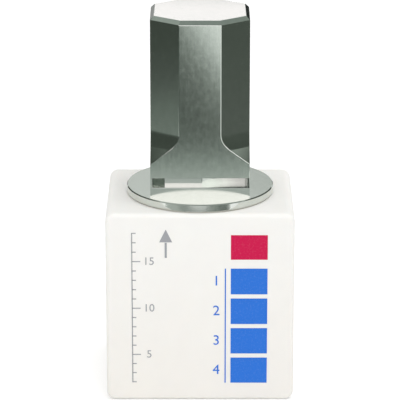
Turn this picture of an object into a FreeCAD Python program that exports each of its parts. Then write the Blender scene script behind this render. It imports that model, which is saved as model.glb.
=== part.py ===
# A zirconia milling block on its holder.
# A pressed block of chalk-white zirconia stands on its lower end. A metal mandrel, turned and milled in one
# piece, is bonded to the upper end by a thin film of adhesive. The mill clamps the mandrel's square shank.
# Frame: millimetres, origin at the middle of the block's lower end face, +X to the right, +Y to the rear and
# +Z up along the shank. The locating slot in the shank faces the front, -Y.

import FreeCAD, Part
import math
import os
import Sketcher

doc = FreeCAD.newDocument("MillingBlock")

# Driving dimensions, in millimetres, and degrees where the note says so
DRIVING = [
    ("block_width", 19.0, "block, across X"),
    ("block_height", 20.0, "block, along Z"),
    ("block_corner", 0.9, "radius of the block's four edges that run from front to rear"),
    ("block_edge", 0.45, "radius of the rubbed edges round its front and rear"),
    ("block_margin", 0.25, "how far the block's front and rear stand past the flange's rim"),
    ("film_thickness", 0.1, "adhesive between block and flange"),
    ("film_inset", 0.15, "how far the adhesive stops inside the flange's rim"),
    ("flange_diameter", 15.0, "mandrel's round flange"),
    ("flange_thickness", 0.8, "mandrel's round flange"),
    ("rim_break", 0.1, "chamfer on the flange's two edges"),
    ("shank_width", 10.0, "square shank, across its flats"),
    ("shank_length", 18.2, "shank, from the flange to its tip"),
    ("front_flat", 4.2, "what the corner facets leave of the front and rear flats"),
    ("side_flat", 5.6, "what the corner facets leave of the side flats"),
    ("ramp_foot", 3.5, "height over the flange at which a facet's ramp leaves the corner"),
    ("ramp_angle", 40.0, "degrees between the ramp and the facet"),
    ("ramp_radius", 2.5, "fillet between the facet and its ramp"),
    ("tip_chamfer", 0.4, "chamfer round the shank's tip"),
    ("slot_floor", 1.0, "height of the locating slot's floor over the flange"),
    ("slot_height", 1.0, "opening of the locating slot"),
    ("slot_end_wall", 0.2, "wall left between the slot's left end and the side flat"),
    ("notch_width", 1.2, "square notch at the slot's left end"),
    ("notch_depth", 3.3, "square notch at the slot's left end"),
    ("slot_depth", 0.8, "depth of the slot's shallow part"),
    ("pocket_depth", 1.8, "depth of the slot's deep part"),
    ("pocket_length", 0.75, "straight length of the slot's deep part"),
    ("cutter_radius", 7.0, "run-in from the shallow to the deep part"),
    ("end_lean", 0.2, "how far the slot's right end wall leans outwards to the front"),
    ("corner_cut", 0.3, "cut across the shank's corner beside the slot's right end"),
    ("ridge_recess", 0.05, "how far the ridge between that cut and the slot stands back"),
    ("overcut", 1.0, "how far a cut starts outside the metal"),
]

sheet = doc.addObject("Spreadsheet::Sheet", "Sizes")
for row, (alias, size, note) in enumerate(DRIVING, start=1):
    sheet.set("A%d" % row, alias)
    sheet.set("B%d" % row, str(size))
    sheet.setAlias("B%d" % row, alias)
    sheet.set("C%d" % row, note)
doc.recompute()

# Formulas: a word in braces is one of the sheet's sizes
BLOCK_DEPTH = "{flange_diameter} + 2 * {block_margin}"
FLANGE_RADIUS = "{flange_diameter} / 2"
TIP_HEIGHT = "{flange_thickness} + {shank_length}"
HALF_SHANK = "{shank_width} / 2"


def spelled(formula):
    return formula.replace("{", "Sizes.").replace("}", "")


def value_of(formula):
    """What a formula comes to, in millimetres or degrees."""
    result = sheet.evalExpression(spelled(formula))
    return getattr(result, "Value", result)


def bind(item, path, formula):
    item.setExpression(path, spelled(formula))


def origin_plane(body, role):
    return next(item for item in body.Origin.OriginFeatures if item.Role == role)


def new_sketch(body, name, role, height="0"):
    """A sketch on one of the body's own origin planes, raised by a formula."""
    sketch = body.newObject("Sketcher::SketchObject", name)
    sketch.AttachmentSupport = [(origin_plane(body, role), "")]
    sketch.MapMode = "FlatFace"
    bind(sketch, "AttachmentOffset.Base.z", height)
    return sketch


def dimension(sketch, formula, kind, *where):
    """Add a dimension to the sketch and tie it to the sheet."""
    value = value_of(formula)
    if kind == "Angle":
        value = math.radians(value)
    index = sketch.addConstraint(Sketcher.Constraint(kind, *where, value))
    bind(sketch, "Constraints[%d]" % index, formula)


def relate(sketch, kind, *rows):
    """Add the same kind of geometric constraint for each row of places."""
    for row in rows:
        sketch.addConstraint(Sketcher.Constraint(kind, *row))


def draw_lines(sketch, points):
    """Join the points by straight lines and give the lines' numbers."""
    vectors = [FreeCAD.Vector(x, y, 0) for x, y in points]
    return [sketch.addGeometry(Part.LineSegment(start, end)) for start, end in zip(vectors, vectors[1:])]


def draw_rectangle(sketch, width, depth):
    """A rectangle centred on the sketch's origin."""
    x = value_of(width) / 2
    y = value_of(depth) / 2
    front, right, rear, left = draw_lines(sketch, [(-x, -y), (x, -y), (x, y), (-x, y), (-x, -y)])
    relate(sketch, "Coincident", (front, 2, right, 1), (right, 2, rear, 1))
    relate(sketch, "Coincident", (rear, 2, left, 1), (left, 2, front, 1))
    relate(sketch, "Horizontal", (front,), (rear,))
    relate(sketch, "Vertical", (right,), (left,))
    relate(sketch, "Symmetric", (front, 1, right, 2, -1, 1))
    dimension(sketch, width, "DistanceX", front, 1, front, 2)
    dimension(sketch, depth, "DistanceY", right, 1, right, 2)


def draw_circle(sketch, radius):
    circle = Part.Circle(FreeCAD.Vector(0, 0, 0), FreeCAD.Vector(0, 0, 1), value_of(radius))
    outline = sketch.addGeometry(circle)
    relate(sketch, "Coincident", (outline, 3, -1, 1))
    dimension(sketch, radius, "Radius", outline)


def add_pad(body, name, sketch, length):
    pad = body.newObject("PartDesign::Pad", name)
    pad.Profile = sketch
    bind(pad, "Length", length)
    doc.recompute()
    return pad


CLOSE = 1e-6


def flat_faces(shape, axis, place):
    """Names of the faces that lie square to an axis, "X", "Y" or "Z", at this place along it."""
    names = []
    for number, face in enumerate(shape.Faces, start=1):
        ends = getattr(face.BoundBox, axis + "Min"), getattr(face.BoundBox, axis + "Max")
        if all(abs(end - place) < CLOSE for end in ends):
            names.append("Face%d" % number)
    return names


def edges_to_rear(shape):
    """Names of the straight edges that run from front to rear."""
    names = []
    for number, edge in enumerate(shape.Edges, start=1):
        box = edge.BoundBox
        if box.YLength > CLOSE and box.XLength < CLOSE and box.ZLength < CLOSE:
            names.append("Edge%d" % number)
    return names


# The block: pressed and pre-sintered as one solid. It is pressed between front and rear, so the die rounds
# the four edges that run that way. Those round its front and rear are only rubbed.
block = doc.addObject("PartDesign::Body", "ZirconiaBlock")
block.Label = "zirconia_block"

block_section = new_sketch(block, "BlockSection", "XY_Plane")
draw_rectangle(block_section, "{block_width}", BLOCK_DEPTH)
plain_block = add_pad(block, "PlainBlock", block_section, "{block_height}")

pressed_corners = block.newObject("PartDesign::Fillet", "PressedCorners")
pressed_corners.Base = (plain_block, edges_to_rear(plain_block.Shape))
bind(pressed_corners, "Radius", "{block_corner}")
doc.recompute()

rubbed_edges = block.newObject("PartDesign::Fillet", "RubbedEdges")
half_depth = value_of(BLOCK_DEPTH) / 2
front = flat_faces(pressed_corners.Shape, "Y", -half_depth)
rear = flat_faces(pressed_corners.Shape, "Y", half_depth)
rubbed_edges.Base = (pressed_corners, front + rear)
bind(rubbed_edges, "Radius", "{block_edge}")
doc.recompute()

# The adhesive: a film that stops just inside the flange's rim
film = doc.addObject("PartDesign::Body", "AdhesiveFilm")
film.Label = "adhesive_film"
bind(film, "Placement.Base.z", "{block_height}")

film_section = new_sketch(film, "FilmSection", "XY_Plane")
draw_circle(film_section, FLANGE_RADIUS + " - {film_inset}")
add_pad(film, "Film", film_section, "{film_thickness}")

# The mandrel: a bar turned down to a round flange and milled to a square shank
mandrel = doc.addObject("PartDesign::Body", "Mandrel")
mandrel.Label = "mandrel"
bind(mandrel, "Placement.Base.z", "{block_height} + {film_thickness}")

flange_section = new_sketch(mandrel, "FlangeSection", "XY_Plane")
draw_circle(flange_section, FLANGE_RADIUS)
add_pad(mandrel, "Flange", flange_section, "{flange_thickness}")

shank_section = new_sketch(mandrel, "ShankSection", "XY_Plane", "{flange_thickness}")
draw_rectangle(shank_section, "{shank_width}", "{shank_width}")
add_pad(mandrel, "Shank", shank_section, "{shank_length}")

# The corner facets: a cutter takes a corner down to a facet and runs out over a ramp.
# The cut is drawn in the upright plane through the shank's axis and square to the facet. There x is the
# distance from the axis and y is the height over the flange's underside.
FACET_TURN = "atan(({shank_width} - {front_flat}) / ({shank_width} - {side_flat}))"
FACET_X = "({front_flat} / 2 * cos(" + FACET_TURN + ") + {shank_width} / 2 * sin(" + FACET_TURN + "))"
CORNER_X = "({shank_width} / 2 * (cos(" + FACET_TURN + ") + sin(" + FACET_TURN + ")))"
OUTSIDE_X = CORNER_X + " + {overcut}"
CUT_TOP = TIP_HEIGHT + " + {overcut}"
FOOT_HEIGHT = "{flange_thickness} + {ramp_foot}"


def draw_facet_cut(sketch):
    facet_x = value_of(FACET_X)
    corner_x = value_of(CORNER_X)
    outside_x = value_of(OUTSIDE_X)
    cut_top = value_of(CUT_TOP)
    foot = value_of(FOOT_HEIGHT)
    slope = math.radians(value_of("{ramp_angle}"))
    radius = value_of("{ramp_radius}")
    bend_x = facet_x + radius * (1 - math.cos(slope))
    bend_y = foot + (corner_x - bend_x) / math.tan(slope)
    facet_end = bend_y + radius * math.sin(slope)
    ramp_end = foot - (outside_x - corner_x) / math.tan(slope)

    ramp, outer, top, facet = draw_lines(sketch, [
        (bend_x, bend_y),
        (outside_x, ramp_end),
        (outside_x, cut_top),
        (facet_x, cut_top),
        (facet_x, facet_end),
    ])
    circle = Part.Circle(FreeCAD.Vector(facet_x + radius, facet_end, 0), FreeCAD.Vector(0, 0, 1), radius)
    fillet = sketch.addGeometry(Part.ArcOfCircle(circle, math.pi, math.pi + slope))
    corner_foot = sketch.addGeometry(Part.Point(FreeCAD.Vector(corner_x, foot, 0)), True)

    relate(sketch, "Coincident", (ramp, 2, outer, 1), (outer, 2, top, 1), (top, 2, facet, 1))
    relate(sketch, "Tangent", (facet, 2, fillet, 1), (fillet, 2, ramp, 1))
    relate(sketch, "Vertical", (facet,), (outer,))
    relate(sketch, "Horizontal", (top,))
    relate(sketch, "PointOnObject", (corner_foot, 1, ramp))
    dimension(sketch, FACET_X, "DistanceX", -1, 1, facet, 1)
    dimension(sketch, OUTSIDE_X, "DistanceX", -1, 1, outer, 2)
    dimension(sketch, CUT_TOP, "DistanceY", -1, 1, top, 1)
    dimension(sketch, CORNER_X, "DistanceX", -1, 1, corner_foot, 1)
    dimension(sketch, FOOT_HEIGHT, "DistanceY", -1, 1, corner_foot, 1)
    dimension(sketch, "{ramp_radius}", "Radius", fillet)
    dimension(sketch, "{ramp_angle} * 1 deg", "Angle", outer, 1, ramp, 2)


facet_cut = new_sketch(mandrel, "FacetCut", "XZ_Plane")
facet_turn = FreeCAD.Rotation(FreeCAD.Vector(0, 1, 0), value_of(FACET_TURN))
facet_cut.AttachmentOffset = FreeCAD.Placement(FreeCAD.Vector(), facet_turn)
bind(facet_cut, "AttachmentOffset.Rotation.Angle", FACET_TURN)
draw_facet_cut(facet_cut)

first_facet = mandrel.newObject("PartDesign::Pocket", "FirstFacet")
first_facet.Profile = facet_cut
first_facet.SideType = "Symmetric"
bind(first_facet, "Length", "2 * {shank_width}")
doc.recompute()

four_facets = mandrel.newObject("PartDesign::MultiTransform", "FourFacets")
four_facets.Originals = [first_facet]
to_left = mandrel.newObject("PartDesign::Mirrored", "ToLeft")
to_left.MirrorPlane = (origin_plane(mandrel, "YZ_Plane"), [""])
to_front = mandrel.newObject("PartDesign::Mirrored", "ToFront")
to_front.MirrorPlane = (origin_plane(mandrel, "XZ_Plane"), [""])
four_facets.Transformations = [to_left, to_front]
mandrel.Tip = four_facets
doc.recompute()

# The locating slot: milled across the front flat, just over the flange, and drawn as seen from above. From
# the left it is a deep square notch, a shallow stretch, a wide cutter's run-in and a short deep stretch with
# a leaning end wall. Beside that wall the shank's corner is cut off, so that a narrow ridge is left.
SLOT_REACH = HALF_SHANK + " - {slot_end_wall}"
RIDGE_X = HALF_SHANK + " - {corner_cut} + {ridge_recess}"
RIDGE_Y = HALF_SHANK + " - {ridge_recess}"
OUTSIDE = HALF_SHANK + " + {overcut}"


def draw_slot(sketch):
    left = -value_of(SLOT_REACH)
    face = -value_of(HALF_SHANK)
    outside = value_of(OUTSIDE)
    notch_right = left + value_of("{notch_width}")
    notch_back = face + value_of("{notch_depth}")
    shallow = face + value_of("{slot_depth}")
    deep = face + value_of("{pocket_depth}")
    ridge_x = value_of(RIDGE_X)
    ridge_y = value_of(RIDGE_Y)
    deep_end = ridge_x - value_of("{end_lean}")
    radius = value_of("{cutter_radius}")
    cutter_x = deep_end - value_of("{pocket_length}")
    run_in = math.acos((radius - deep + shallow) / radius)

    left_side, back, notch_side, shallow_side = draw_lines(sketch, [
        (left, -outside),
        (left, notch_back),
        (notch_right, notch_back),
        (notch_right, shallow),
        (cutter_x - radius * math.sin(run_in), shallow),
    ])
    deep_side, end_wall, cut, right_side, mouth = draw_lines(sketch, [
        (cutter_x, deep),
        (deep_end, deep),
        (ridge_x, -ridge_y),
        (outside, outside - ridge_x - ridge_y),
        (outside, -outside),
        (left, -outside),
    ])
    circle = Part.Circle(FreeCAD.Vector(cutter_x, deep - radius, 0), FreeCAD.Vector(0, 0, 1), radius)
    cutter = sketch.addGeometry(Part.ArcOfCircle(circle, math.pi / 2, math.pi / 2 + run_in))

    relate(sketch, "Coincident", (left_side, 2, back, 1), (back, 2, notch_side, 1))
    relate(sketch, "Coincident", (notch_side, 2, shallow_side, 1), (shallow_side, 2, cutter, 2))
    relate(sketch, "Tangent", (cutter, 1, deep_side, 1))
    relate(sketch, "Coincident", (deep_side, 2, end_wall, 1), (end_wall, 2, cut, 1))
    relate(sketch, "Coincident", (cut, 2, right_side, 1))
    relate(sketch, "Coincident", (right_side, 2, mouth, 1), (mouth, 2, left_side, 1))
    relate(sketch, "Vertical", (left_side,), (notch_side,), (right_side,))
    relate(sketch, "Horizontal", (back,), (shallow_side,), (deep_side,), (mouth,))
    dimension(sketch, SLOT_REACH, "DistanceX", left_side, 1, -1, 1)
    dimension(sketch, OUTSIDE, "DistanceY", left_side, 1, -1, 1)
    dimension(sketch, OUTSIDE, "DistanceX", -1, 1, right_side, 2)
    dimension(sketch, "{notch_width}", "DistanceX", back, 1, back, 2)
    dimension(sketch, "{notch_depth} + {overcut}", "DistanceY", left_side, 1, left_side, 2)
    dimension(sketch, "{slot_depth} + {overcut}", "DistanceY", mouth, 2, shallow_side, 1)
    dimension(sketch, "{pocket_depth} + {overcut}", "DistanceY", mouth, 2, deep_side, 1)
    dimension(sketch, "{pocket_length}", "DistanceX", deep_side, 1, deep_side, 2)
    dimension(sketch, "{cutter_radius}", "Radius", cutter)
    dimension(sketch, "{end_lean}", "DistanceX", end_wall, 1, end_wall, 2)
    dimension(sketch, RIDGE_X, "DistanceX", -1, 1, end_wall, 2)
    dimension(sketch, RIDGE_Y, "DistanceY", end_wall, 2, -1, 1)
    dimension(sketch, OUTSIDE + " - (" + RIDGE_X + ")", "DistanceY", cut, 1, cut, 2)


slot_plan = new_sketch(mandrel, "SlotPlan", "XY_Plane", "{flange_thickness} + {slot_floor}")
draw_slot(slot_plan)

locating_slot = mandrel.newObject("PartDesign::Pocket", "LocatingSlot")
locating_slot.Profile = slot_plan
locating_slot.Reversed = True
bind(locating_slot, "Length", "{slot_height}")
doc.recompute()


# The shank's tip is chamfered so that it enters the clamp, and the flange's two edges are broken
def rim_edges(shape, radius):
    """Names of the full circles of this radius."""
    names = []
    for number, edge in enumerate(shape.Edges, start=1):
        full_circle = isinstance(edge.Curve, Part.Circle) and edge.isClosed()
        if full_circle and abs(edge.Curve.Radius - radius) < CLOSE:
            names.append("Edge%d" % number)
    return names


tip_chamfer = mandrel.newObject("PartDesign::Chamfer", "TipChamfer")
tip_chamfer.Base = (locating_slot, flat_faces(locating_slot.Shape, "Z", value_of(TIP_HEIGHT)))
bind(tip_chamfer, "Size", "{tip_chamfer}")
doc.recompute()

rim_break = mandrel.newObject("PartDesign::Chamfer", "RimBreak")
rim_break.Base = (tip_chamfer, rim_edges(tip_chamfer.Shape, value_of(FLANGE_RADIUS)))
bind(rim_break, "Size", "{rim_break}")
doc.recompute()

# Nothing is written unless every feature built and every sub-part is one sound solid
for item in doc.Objects:
    if "Invalid" in item.State or "Error" in item.State:
        raise RuntimeError("%s did not build: %s" % (item.Name, item.State))
    if item.isDerivedFrom("Sketcher::SketchObject") and not item.FullyConstrained:
        raise RuntimeError("%s is not fully constrained" % item.Name)
for body in (block, film, mandrel):
    if body.Shape.isNull() or not body.Shape.isValid() or len(body.Shape.Solids) != 1:
        raise RuntimeError("%s is not one sound solid" % body.Label)

os.makedirs("parts", exist_ok=True)
for body in (block, film, mandrel):
    body.Shape.exportStep("parts/%s.step" % body.Label)
    print("%s: %.3f cubic millimetres" % (body.Label, body.Shape.Volume))
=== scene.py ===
import math

import bmesh
import bpy
from mathutils import Matrix, Vector


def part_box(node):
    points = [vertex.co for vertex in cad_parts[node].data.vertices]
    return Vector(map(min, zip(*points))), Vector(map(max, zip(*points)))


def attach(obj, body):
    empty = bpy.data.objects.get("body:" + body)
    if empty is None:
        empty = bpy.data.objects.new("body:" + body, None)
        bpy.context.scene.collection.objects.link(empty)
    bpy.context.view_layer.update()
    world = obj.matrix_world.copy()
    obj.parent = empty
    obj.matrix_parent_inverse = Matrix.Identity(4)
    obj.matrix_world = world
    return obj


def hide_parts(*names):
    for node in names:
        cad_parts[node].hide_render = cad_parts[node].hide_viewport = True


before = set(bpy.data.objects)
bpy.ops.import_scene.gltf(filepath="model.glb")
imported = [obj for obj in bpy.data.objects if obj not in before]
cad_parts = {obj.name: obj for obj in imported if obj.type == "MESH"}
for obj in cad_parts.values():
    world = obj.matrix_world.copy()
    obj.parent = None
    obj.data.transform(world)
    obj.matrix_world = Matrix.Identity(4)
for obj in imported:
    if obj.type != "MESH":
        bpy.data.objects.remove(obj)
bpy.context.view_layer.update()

# The block: zirconia powder, pressed in layers and half fired, then sawn to size, its edges rubbed round.
# To the eye it is chalk: white and quite matt, with a fine grain and faint cloudy patches from the pressing.
# The lower layers are a little warmer than the upper ones.
MM = 0.001
LOWER_LAYER, UPPER_LAYER = "F3F0EA", "F7F6F2"
PRESSED_PATCH = 2.5 * MM
# The real granules are about 0.06 mm, too fine to show, so the grain is drawn three times as coarse.
POWDER_GRAIN = 0.18 * MM
GRAIN_HEIGHT = 0.02 * MM
LIGHT_DEPTH = 0.5 * MM


def linear(hex_colour):
    """An sRGB hex colour as linear red, green, blue and alpha."""
    channels = [int(hex_colour[i:i + 2], 16) / 255 for i in (0, 2, 4)]
    return [c / 12.92 if c <= 0.04045 else ((c + 0.055) / 1.055) ** 2.4 for c in channels] + [1.0]


def new_material(name):
    """An empty node material and its output."""
    material = bpy.data.materials.new(name)
    material.use_nodes = True
    material.node_tree.nodes.clear()
    return material, material.node_tree.nodes.new("ShaderNodeOutputMaterial")


def add(owner, kind, sockets, **settings):
    """Add a node to a material or world. A socket is given a value, or another node's output to link."""
    node = owner.node_tree.nodes.new("ShaderNode" + kind)
    for name, value in settings.items():
        setattr(node, name, value)
    for name, value in sockets.items():
        if isinstance(value, bpy.types.NodeSocket):
            owner.node_tree.links.new(value, node.inputs[name])
        else:
            node.inputs[name].default_value = value
    return node


block_low, block_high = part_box("zirconia_block")

zirconia, zirconia_out = new_material("pre_sintered_zirconia_chalky")
place = add(zirconia, "TexCoord", {}).outputs["Object"]
height = add(zirconia, "SeparateXYZ", {"Vector": place}).outputs["Z"]
layer = add(zirconia, "MapRange", {
    "Value": height, "From Min": block_low.z, "From Max": block_high.z,
}, interpolation_type="SMOOTHSTEP").outputs["Result"]
patch = add(zirconia, "TexNoise", {
    "Vector": place, "Scale": 1 / PRESSED_PATCH, "Detail": 3.0, "Roughness": 0.6,
}).outputs["Fac"]
grain = add(zirconia, "TexNoise", {
    "Vector": place, "Scale": 1 / POWDER_GRAIN, "Detail": 2.0, "Roughness": 0.7,
}).outputs["Fac"]
layered = add(zirconia, "MixRGB", {
    "Fac": layer, "Color1": linear(LOWER_LAYER), "Color2": linear(UPPER_LAYER),
}).outputs["Color"]
shade = add(zirconia, "MapRange", {"Value": patch, "To Min": 0.975, "To Max": 1.02}).outputs["Result"]
tone = add(zirconia, "HueSaturation", {"Color": layered, "Value": shade}).outputs["Color"]
powdery = add(zirconia, "Bump", {
    "Height": grain, "Strength": 0.12, "Distance": GRAIN_HEIGHT,
}).outputs["Normal"]
chalk = add(zirconia, "BsdfPrincipled", {
    "Base Color": tone, "Roughness": 0.82, "IOR": 1.5, "Normal": powdery,
    "Subsurface Weight": 0.12, "Subsurface Radius": (1.0, 0.85, 0.7), "Subsurface Scale": LIGHT_DEPTH,
})
zirconia.node_tree.links.new(chalk.outputs["BSDF"], zirconia_out.inputs["Surface"])

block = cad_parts["zirconia_block"]
for index in range(len(block.material_slots)):
    block.material_slots[index].material = zirconia

# The adhesive: a two-part epoxy, spread by hand between block and flange, and cured. To the eye it is a fine
# off-white line under the flange's rim, slightly glossy and a little uneven in colour where it was smeared.
SMEAR = 0.8 * MM

adhesive, adhesive_out = new_material("cured_epoxy_adhesive")
place = add(adhesive, "TexCoord", {}).outputs["Object"]
smear = add(adhesive, "TexNoise", {"Vector": place, "Scale": 1 / SMEAR, "Detail": 2.0}).outputs["Fac"]
smeared = add(adhesive, "MixRGB", {
    "Fac": smear, "Color1": linear("B5B3AB"), "Color2": linear("CCCAC3"),
}).outputs["Color"]
resin = add(adhesive, "BsdfPrincipled", {"Base Color": smeared, "Roughness": 0.42, "IOR": 1.5})
adhesive.node_tree.links.new(resin.outputs["BSDF"], adhesive_out.inputs["Surface"])

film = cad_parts["adhesive_film"]
for index in range(len(film.material_slots)):
    film.material_slots[index].material = adhesive

# The mandrel: one piece of stainless steel, glued on by its flange. The flange is turned, the shank's flats
# are ground, and its corner facets, tip and slot are milled. Tumbling breaks each sharp edge over the flange,
# which then catches a thin line of light.
EDGE_BREAK = 0.055 * MM
FLANGE_TOP = 20.9 * MM
OVER_FLANGE = FLANGE_TOP + 0.01 * MM
SLOT_TOP = 23.0 * MM
FLAT_REACH = 4.9 * MM
WELD = 0.002 * MM
# Angles between two faces: still one flat, sharp enough to break, and the steepest step that is shaded round,
# on the solid and on a broken edge.
COPLANAR = math.radians(1)
SHARP = math.radians(18)
ROUNDED_STEP, BROKEN_STEP = math.radians(12), math.radians(50)

shell = bmesh.new()
shell.from_mesh(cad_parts["mandrel"].data)
bmesh.ops.remove_doubles(shell, verts=shell.verts, dist=WELD)
bmesh.ops.dissolve_limit(shell, angle_limit=COPLANAR, verts=shell.verts, edges=shell.edges)
sharp_edges = []
for edge in shell.edges:
    above_flange = min(v.co.z for v in edge.verts) > OVER_FLANGE
    if above_flange and edge.is_convex and edge.calc_face_angle() > SHARP:
        sharp_edges.append(edge)
broken = set(bmesh.ops.bevel(
    shell, geom=sharp_edges, offset=EDGE_BREAK, offset_type="OFFSET", affect="EDGES", segments=2,
    profile=0.5, material=-1, clamp_overlap=True,
)["faces"])
for edge in shell.edges:
    limit = ROUNDED_STEP if broken.isdisjoint(edge.link_faces) else BROKEN_STEP
    edge.smooth = edge.calc_face_angle(math.pi) < limit

# What each finish gives the eye: turned steel has faint rings. Ground steel has upright lines, and soft
# clouds that fade out towards its foot. Milled steel is nearly a mirror. The rim is a lighter copy of the
# turned steel, a painted highlight, and the slot is a darker copy of the milled steel, painted shade that
# deepens towards the front of its right end. A finish's last value is how cloudy it is, up to 1.
STEEL, RIM_STEEL_PAINTED_LIGHTER, SLOT_STEEL_PAINTED_SHADE = "C1C9C1", "D8DCD6", "BBC2BB"
# Real turning marks are about 0.08 mm apart and grinding lines 0.02 mm, so both are drawn coarser to show.
TURNING_PITCH = 0.22 * MM
GRINDING_LINE, GRINDING_STRETCH = 0.16 * MM, 0.04
CLOUD, CLOUD_STRETCH = 0.5 * MM, 0.7
MARK_DEPTH, CLOUD_DEPTH = 0.004 * MM, 0.003 * MM
CLOUD_FOOT, CLOUD_FULL = 21.8 * MM, 24.0 * MM
UNEVEN = 0.015
NOISE_RANGE = {"From Min": 0.3, "From Max": 0.7}
# Painted shade in the slot: its colour darkens along this slant, between the two lengths below.
PAINTED_SHADE_WAY = (1.0, -1.2, 0.0)
PAINTED_SHADE_START, PAINTED_SHADE_END = 6.4 * MM, 8.6 * MM

steels = []
for name, colour, roughness, lay, cloud in (
    ("stainless_steel_turned", STEEL, 0.10, "rings", 0.0),
    ("stainless_steel_ground", STEEL, 0.14, "upright", 1.0),
    ("stainless_steel_milled", STEEL, 0.10, "upright", 0.2),
    # The rim: a lighter copy of the turned steel, a painted highlight.
    ("stainless_steel_rim_painted_highlight", RIM_STEEL_PAINTED_LIGHTER, 0.10, "rings", 0.0),
    ("stainless_steel_milled_slot_painted_shade", SLOT_STEEL_PAINTED_SHADE, 0.10, "slot", 0.2),
):
    steel, steel_out = new_material(name)
    place = add(steel, "TexCoord", {}).outputs["Object"]
    if lay == "rings":
        level = add(steel, "Mapping", {"Vector": place, "Scale": (1.0, 1.0, 0.0)}).outputs["Vector"]
        across = add(steel, "VectorMath", {0: level}, operation="LENGTH").outputs["Value"]
        turns = add(steel, "Math", {0: across, 1: 2 * math.pi / TURNING_PITCH}, operation="MULTIPLY")
        marks = add(steel, "Math", {0: turns.outputs["Value"]}, operation="SINE").outputs["Value"]
    else:
        stretched = add(steel, "Mapping", {
            "Vector": place, "Scale": (1.0, 1.0, GRINDING_STRETCH),
        }).outputs["Vector"]
        marks = add(steel, "TexNoise", {
            "Vector": stretched, "Scale": 1 / GRINDING_LINE, "Detail": 2.0,
        }).outputs["Fac"]
    drawn = add(steel, "Mapping", {"Vector": place, "Scale": (1.0, 1.0, CLOUD_STRETCH)}).outputs["Vector"]
    cloudy = add(steel, "TexNoise", {
        "Vector": drawn, "Scale": 1 / CLOUD, "Detail": 3.0, "Roughness": 0.65,
    }).outputs["Fac"]
    worn = add(steel, "MapRange", {
        "Value": cloudy, **NOISE_RANGE, "To Min": roughness - UNEVEN, "To Max": roughness + UNEVEN,
    }).outputs["Result"]
    fine = add(steel, "Bump", {"Height": marks, "Strength": 0.05, "Distance": MARK_DEPTH}).outputs["Normal"]
    wavy = add(steel, "Bump", {
        "Height": cloudy, "Strength": 0.16 * cloud, "Distance": CLOUD_DEPTH, "Normal": fine,
    }).outputs["Normal"]
    shade = add(steel, "MapRange", {
        "Value": cloudy, **NOISE_RANGE, "To Min": 0.98 - 0.06 * cloud, "To Max": 1.02 + 0.06 * cloud,
    }).outputs["Result"]
    if lay == "upright":
        streak = add(steel, "MapRange", {
            "Value": marks, **NOISE_RANGE, "To Min": 1 - 0.04 * cloud, "To Max": 1 + 0.04 * cloud,
        }).outputs["Result"]
        shade = add(steel, "Math", {0: shade, 1: streak}, operation="MULTIPLY").outputs["Value"]
        height = add(steel, "SeparateXYZ", {"Vector": place}).outputs["Z"]
        shade = add(steel, "MapRange", {
            "Value": height, "From Min": CLOUD_FOOT, "From Max": CLOUD_FULL, "To Min": 1.0, "To Max": shade,
        }).outputs["Result"]
    # Painted shade: the slot's colour darkens towards the front of its right end.
    if lay == "slot":
        aslant = add(steel, "VectorMath", {0: place, 1: PAINTED_SHADE_WAY}, operation="DOT_PRODUCT").outputs["Value"]
        painted_shade = add(steel, "MapRange", {
            "Value": aslant, "From Min": PAINTED_SHADE_START, "From Max": PAINTED_SHADE_END, "To Min": 1.0, "To Max": 0.78,
        }).outputs["Result"]
        shade = add(steel, "Math", {0: shade, 1: painted_shade}, operation="MULTIPLY").outputs["Value"]
    tint = add(steel, "HueSaturation", {"Color": linear(colour), "Value": shade}).outputs["Color"]
    metal = add(steel, "BsdfPrincipled", {
        "Base Color": tint, "Metallic": 1.0, "Roughness": worn, "Normal": wavy,
    })
    steel.node_tree.links.new(metal.outputs["BSDF"], steel_out.inputs["Surface"])
    steels.append(steel)

TURNED, GROUND, MILLED, RIM_PAINTED_LIGHTER, MILLED_SLOT = range(len(steels))
mandrel_mesh = bpy.data.meshes.new("mandrel_finished")
for steel in steels:
    mandrel_mesh.materials.append(steel)
for face in shell.faces:
    face.smooth = True
    middle = face.calc_center_median()
    upright = max(abs(face.normal.x), abs(face.normal.y)) > 0.999
    outer = max(abs(middle.x), abs(middle.y)) > FLAT_REACH
    if middle.z < OVER_FLANGE:
        # The rim's upright faces take the lighter steel, a painted highlight.
        face.material_index = RIM_PAINTED_LIGHTER if abs(face.normal.z) < 0.9 else TURNED
    elif upright and outer:
        face.material_index = GROUND
    elif middle.z < SLOT_TOP and middle.y < 0:
        face.material_index = MILLED_SLOT
    else:
        face.material_index = MILLED
shell.to_mesh(mandrel_mesh)
shell.free()
mandrel = bpy.data.objects.new("mandrel_finished", mandrel_mesh)
bpy.context.scene.collection.objects.link(mandrel)
even_flats = mandrel.modifiers.new("even_flats", "WEIGHTED_NORMAL")
even_flats.weight = 50
even_flats.keep_sharp = True
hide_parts("mandrel")
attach(mandrel, "root")

# The print on the block's front: a layer scale in red and blue, and a grey millimetre scale with an arrow,
# all stamped with matt ink. To the eye it is flat, dense colour with faint specks of bare powder. Its sizes
# are in millimetres: a bar is its left side, foot, width and height, and a number its text, size and middle.
INK_DEPTH = 0.03 * MM
INK_WELD = 0.001 * MM
BAND_LEFT, BAND_FOOT, BAND_WIDTH, BAND_HEIGHT, BAND_STEP = 3.1, 1.9, 3.7, 2.75, 3.2
BANDS = range(4)
RED_BAND = (BAND_LEFT, 15.2, BAND_WIDTH, 2.6)
BLUE_LINE = (2.5, BAND_FOOT, 0.12, 12.35)
BLUE_SIZE, BLUE_MIDDLE, BLUE_FIRST = 1.5, 1.65, 3.3
RULE_LEFT, RULE_FOOT, RULE_LENGTH, RULE_LINE = -6.9, 2.0, 16.0, 0.1
LONG_TICK, SHORT_TICK = 0.9, 0.45
GREY_SIZE, GREY_MIDDLE = 1.15, -5.15
ARROW_SHAFT = (-3.55, 15.4, 0.22, 1.6)
ARROW_MIDDLE, ARROW_RISE, ARROW_HEAD, ARROW_STRETCH = -3.44, 17.5, 0.75, 1.2

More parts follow.
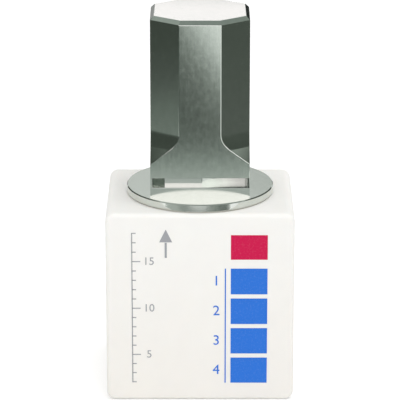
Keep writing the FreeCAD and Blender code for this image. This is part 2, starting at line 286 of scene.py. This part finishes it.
blue_bars = [(BAND_LEFT, BAND_FOOT + BAND_STEP * step, BAND_WIDTH, BAND_HEIGHT) for step in BANDS]
blue_bars += [BLUE_LINE]
blue_numbers = [(str(4 - step), BLUE_SIZE, BLUE_MIDDLE, BLUE_FIRST + BAND_STEP * step) for step in BANDS]
grey_bars = [(RULE_LEFT, RULE_FOOT, RULE_LINE, RULE_LENGTH), ARROW_SHAFT]
for mark in range(2, 19):
    tick = LONG_TICK if mark % 5 == 0 else SHORT_TICK
    grey_bars += [(RULE_LEFT, mark - RULE_LINE / 2, tick, RULE_LINE)]
grey_numbers = [(str(mark), GREY_SIZE, GREY_MIDDLE, mark) for mark in (5, 10, 15)]
standing = Matrix.Rotation(math.radians(90), 4, "X")

for name, colour, bars, numbers in (
    ("red_band", "CE0E4C", [RED_BAND], []),
    ("blue_scale", "2C74D8", blue_bars, blue_numbers),
    ("grey_scale", "A2A4A8", grey_bars, grey_numbers),
):
    ink, ink_out = new_material(name + "_matt_ink")
    place = add(ink, "TexCoord", {}).outputs["Object"]
    speck = add(ink, "TexNoise", {
        "Vector": place, "Scale": 1 / POWDER_GRAIN, "Detail": 3.0, "Roughness": 0.7,
    }).outputs["Fac"]
    bare = add(ink, "MapRange", {
        "Value": speck, "From Min": 0.5, "From Max": 0.8, "To Min": 0.0, "To Max": 0.06,
    }).outputs["Result"]
    inked = add(ink, "MixRGB", {
        "Fac": bare, "Color1": linear(colour), "Color2": linear(LOWER_LAYER),
    }).outputs["Color"]
    dry = add(ink, "BsdfPrincipled", {"Base Color": inked, "Roughness": 0.8, "IOR": 1.3})
    ink.node_tree.links.new(dry.outputs["BSDF"], ink_out.inputs["Surface"])

    stamped = bmesh.new()
    for x, z, width, tall in bars:
        middle = Vector(((x + width / 2) * MM, block_low.y, (z + tall / 2) * MM))
        spread = Matrix.Diagonal((width * MM, INK_DEPTH, tall * MM, 1.0))
        bmesh.ops.create_cube(stamped, size=1.0, matrix=Matrix.Translation(middle) @ spread)
    if name == "grey_scale":
        head = Matrix.Translation((ARROW_MIDDLE * MM, block_low.y, ARROW_RISE * MM))
        taller = Matrix.Diagonal((1.0, 1.0, ARROW_STRETCH, 1.0))
        bmesh.ops.create_cone(
            stamped, cap_ends=True, segments=3, radius1=ARROW_HEAD * MM, radius2=ARROW_HEAD * MM,
            depth=INK_DEPTH, matrix=head @ taller @ standing,
        )
    for text, size, x, z in numbers:
        letters = bpy.data.curves.new(text, "FONT")
        letters.body = text
        letters.size = size * MM
        letters.align_x = "CENTER"
        letters.align_y = "CENTER"
        letters.extrude = INK_DEPTH / 2
        holder = bpy.data.objects.new(text, letters)
        figures = bpy.data.meshes.new_from_object(holder)
        bpy.data.objects.remove(holder)
        figures.transform(Matrix.Translation((x * MM, block_low.y, z * MM)) @ standing)
        stamped.from_mesh(figures)
    bmesh.ops.remove_doubles(stamped, verts=stamped.verts, dist=INK_WELD)
    bmesh.ops.recalc_face_normals(stamped, faces=stamped.faces)
    printed_mesh = bpy.data.meshes.new(name)
    stamped.to_mesh(printed_mesh)
    stamped.free()
    printed_mesh.materials.append(ink)
    printed = bpy.data.objects.new(name, printed_mesh)
    bpy.context.scene.collection.objects.link(printed)
    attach(printed, "root")

# The studio: a white laminate table under an even white sky. The camera and the metal's reflections see both
# as white, while the block is lit at a plain level and keeps its soft shadow on the table.
SKY_LIGHT = 0.74
TABLE_GLOW = 0.25
TABLE_RADIUS = 2.5


def seen_share(owner):
    """1 where the camera, a reflection or a clear material shows the surface, 0 where it lights others."""
    rays = add(owner, "LightPath", {}).outputs
    seen = rays["Is Camera Ray"]
    for kind in ("Is Glossy Ray", "Is Transmission Ray"):
        seen = add(owner, "Math", {0: seen, 1: rays[kind]}, operation="MAXIMUM").outputs["Value"]
    return seen


world = bpy.data.worlds.new("white_studio")
bpy.context.scene.world = world
world.use_nodes = True
world.node_tree.nodes.clear()
strength = add(world, "MapRange", {
    "Value": seen_share(world), "To Min": SKY_LIGHT, "To Max": 1.0,
}).outputs["Result"]
sky = add(world, "Background", {"Color": linear("FFFFFF"), "Strength": strength}).outputs["Background"]
add(world, "OutputWorld", {"Surface": sky})

table, table_out = new_material("white_laminate_table")
lift = add(table, "Math", {0: seen_share(table), 1: TABLE_GLOW}, operation="MULTIPLY").outputs["Value"]
paint = add(table, "BsdfDiffuse", {"Color": linear("F2F2F2")}).outputs["BSDF"]
glow = add(table, "Emission", {"Color": linear("FFFFFF"), "Strength": lift}).outputs["Emission"]
both = add(table, "AddShader", {0: paint, 1: glow}).outputs["Shader"]
table.node_tree.links.new(both, table_out.inputs["Surface"])

floor_shape = bmesh.new()
bmesh.ops.create_circle(floor_shape, cap_ends=True, segments=96, radius=TABLE_RADIUS)
floor_mesh = bpy.data.meshes.new("floor")
floor_shape.to_mesh(floor_mesh)
floor_shape.free()
floor_mesh.materials.append(table)
floor = bpy.data.objects.new("floor", floor_mesh)
bpy.context.scene.collection.objects.link(floor)

# Cards that only the metal sees, like painted boards set round a shiny piece: low grey ones in front and
# behind, dark ones at the sides, a grey one overhead and white ones far off. A card is its corner, its two
# sides, its shade's direction, the shade as marks and colours, and its brightness, all lengths in millimetres.
UP, ACROSS, BACK, SLANTED = (0, 0, 1), (1, 0, 0), (0, 1, 0), (1.45, 0, 1)
LOW_GREY = (
    (2.8, "88908C"), (3.4, "FFFFFF"), (4.4, "FFFFFF"), (5.2, "C0C8C3"), (6.6, "AEB8B2"),
    (8.1, "98A09B"), (9.7, "6C726E"), (11.2, "646A66"), (13, "60665F"),
)
HIGH_GREY = (
    (7.4, "565C58"), (9, "626763"), (9.8, "6A6F6B"), (10.7, "6C726C"), (11.6, "6F7571"),
    (12.4, "8E9691"), (13.3, "BABFBC"), (14.0, "D9DCDA"), (15.0, "F5F5F5"), (17, "FFFFFF"),
)
SIDE_GREY = (
    (9, "868E88"), (13, "7A827C"), (17, "5E645F"), (22, "4E544E"), (74, "525852"),
    (78, "6C726C"), (84, "7A807A"),
)
SIDE_SHADE = ((12, "666B66"), (22, "5C625C"), (74, "565C56"), (77, "A0A6A0"), (84, "BCC2BC"))
DARK = ((26, "525852"), (90, "525852"))
REAR_GREY = ((13, "666C68"), (21, "939995"), (28, "D4D9D6"))
TABLE_GREY = ((-60, "BCC2BE"), (-41, "B0B8B3"))
END_GREY = ((10, "9EA4A0"), (26, "78807B"), (50, "747C77"))
BRIGHT = ((-60, "FFFFFF"), (60, "FFFFFF"))
LEFT_HORIZON = ((0, "A4A4A4"), (58, "A4A4A4"))
RIGHT_HORIZON = ((0, "2E3231"), (58, "2E3231"))
FLANGE_GREY = ((-10, "E4E5E4"), (10, "D2D4D2"))
OVERHEAD = ((-92, "B6BCB8"), (0, "A0A6A3"), (150, "98A09B"))
WARM = ((-400, "E6DAE0"), (0, "FFEFF7"), (500, "FFF6FA"))
STRIP = ((-600, "C8BEC3"), (-250, "FFF4F9"), (600, "FFF4F9"))
CARDS = (
    ("low_front_card", (-60, -60, 0), (70, 0, 0), (0, 0, 13), UP, LOW_GREY, 1),
    ("low_front_end_card", (10, -60, 0), (40, 0, 0), (0, 0, 4.5), ACROSS, END_GREY, 1),
    ("high_front_card", (-60, -60, 13), (70, 0, 0), (0, 0, 21), SLANTED, HIGH_GREY, 1.25),
    ("table_card", (-57, -60, 0.1), (87, 0, 0), (0, 19, 0), BACK, TABLE_GREY, 1),
    ("table_end_card", (30, -60, 0.1), (20, 0, 0), (0, 13, 0), ACROSS, END_GREY, 1),
    ("left_table_card", (-110, -60, 0.1), (53, 0, 0), (0, 120, 0), BACK, BRIGHT, 1.15),
    ("right_table_card", (50, -60, 0.1), (60, 0, 0), (0, 120, 0), BACK, BRIGHT, 1.15),
    ("left_card", (-60, -60, 7), (0, 94, 0), (0, 0, 83), UP, SIDE_GREY, 1),
    ("left_high_card", (-60, 34, 26), (0, 70, 0), (0, 0, 64), UP, DARK, 1),
    ("right_card", (60, -40, 1), (0, 44, 0), (0, 0, 89), UP, SIDE_SHADE, 1),
    ("low_rear_card", (60, 60, 0), (-70, 0, 0), (0, 0, 13), UP, LOW_GREY, 1),
    ("high_rear_card", (60, 60, 13), (-70, 0, 0), (0, 0, 21), UP, REAR_GREY, 1),
    ("rear_right_card", (60, 4, 7), (0, 56, 0), (0, 0, 83), UP, SIDE_GREY, 1),
    ("right_high_card", (60, 60, 26), (0, 44, 0), (0, 0, 64), UP, DARK, 1),
    ("left_horizon_card", (-75, 150, 0), (65, 0, 0), (0, 0, 58), UP, LEFT_HORIZON, 1),
    ("right_horizon_card", (75, 150, 0), (-65, 0, 0), (0, 0, 58), UP, RIGHT_HORIZON, 1),
    ("flange_card", (-90, 150, 58), (180, 0, 0), (0, 0, 15.3), ACROSS, FLANGE_GREY, 1),
    ("overhead_card", (-150, -130, 150), (0, 240, 0), (300, 0, 0), ACROSS, OVERHEAD, 1),
    ("softbox_card", (-300, -620, 185), (600, 0, 0), (0, 0, 195), ACROSS, WARM, 2.9),
    ("softbox_left_card", (-740, -620, 259), (440, 0, -44), (0, 0, 165), ACROSS, WARM, 2.9),
    ("softbox_right_card", (300, -620, 215), (950, 0, 95), (0, 0, 165), ACROSS, WARM, 2.9),
    ("strip_card", (-600, 1500, 382), (1200, 0, 0), (0, 0, 46), ACROSS, STRIP, 1.8),
)
for name, corner, along, rise, toward, shades, brightness in CARDS:
    card, card_out = new_material(name)
    place = add(card, "TexCoord", {}).outputs["Object"]
    first, span = shades[0][0], shades[-1][0] - shades[0][0]
    measured = add(card, "VectorMath", {
        0: place, 1: Vector(toward).normalized() / (span * MM),
    }, operation="DOT_PRODUCT").outputs["Value"]
    run = add(card, "Math", {0: measured, 1: first / span}, operation="SUBTRACT").outputs["Value"]
    ramp = add(card, "ValToRGB", {"Fac": run})
    stops = ramp.color_ramp.elements
    for number, (mark, colour) in enumerate(shades):
        share = (mark - first) / span
        stop = stops[number] if number < 2 else stops.new(share)
        stop.position = share
        stop.color = linear(colour)
    paint = add(card, "Emission", {"Color": ramp.outputs["Color"], "Strength": brightness})
    card.node_tree.links.new(paint.outputs["Emission"], card_out.inputs["Surface"])
    board_shape = bmesh.new()
    ends = [Vector(corner), Vector(corner) + Vector(along)]
    foot = board_shape.edges.new([board_shape.verts.new(end * MM) for end in ends])
    bmesh.ops.extrude_edge_only(board_shape, edges=[foot])
    board_shape.verts.ensure_lookup_table()
    bmesh.ops.translate(board_shape, verts=board_shape.verts[2:], vec=Vector(rise) * MM)
    card_mesh = bpy.data.meshes.new(name)
    board_shape.to_mesh(card_mesh)
    board_shape.free()
    card_mesh.materials.append(card)
    board = bpy.data.objects.new(name, card_mesh)
    bpy.context.scene.collection.objects.link(board)
    board.visible_camera = board.visible_diffuse = board.visible_shadow = board.visible_transmission = False

# Lamps: a large softbox in line with the camera, and a soft one overhead to the right. Both aim at the
# flange, and the metal sees the cards in their place. A lamp is its place, its width and height in metres,
# and its brightness, where 1 is white paper.
LAMP_AIM = Vector((0.0, 0.0, 0.02))
LAMPS = (
    ("softbox", (0.0, -0.62, 0.235), (0.30, 0.24), 2.5),
    ("overhead", (0.11, -0.12, 0.70), (0.5, 0.5), 2.0),
)
for name, spot, size, radiance in LAMPS:
    data = bpy.data.lights.new(name, "AREA")
    data.shape = "RECTANGLE"
    data.size, data.size_y = size
    data.energy = radiance * math.pi * size[0] * size[1]
    lamp = bpy.data.objects.new(name, data)
    lamp.location = spot
    lamp.rotation_euler = (LAMP_AIM - Vector(spot)).to_track_quat("-Z", "Y").to_euler()
    bpy.context.scene.collection.objects.link(lamp)
    lamp.visible_camera = lamp.visible_glossy = False

# The camera: a long lens that looks down on the block from in front, at the photograph's angle. Its focal
# length was fitted in pixels of the 400 pixel wide picture.
FOCAL_PIXELS, PICTURE_WIDTH, SENSOR = 2509.3, 400, 36.0
LOOKS_DOWN = 18.034

camera_data = bpy.data.cameras.new("camera")
camera_data.sensor_width = SENSOR
camera_data.lens = FOCAL_PIXELS * SENSOR / PICTURE_WIDTH
camera_data.clip_start = 0.01
camera_data.clip_end = 20.0
camera = bpy.data.objects.new("camera", camera_data)
camera.location = (0.0, -0.24558, 0.09894)
camera.rotation_euler = (math.radians(90 - LOOKS_DOWN), 0.0, 0.0)
bpy.context.scene.collection.objects.link(camera)
bpy.context.scene.camera = camera
bpy.context.scene.view_settings.view_transform = "Standard"
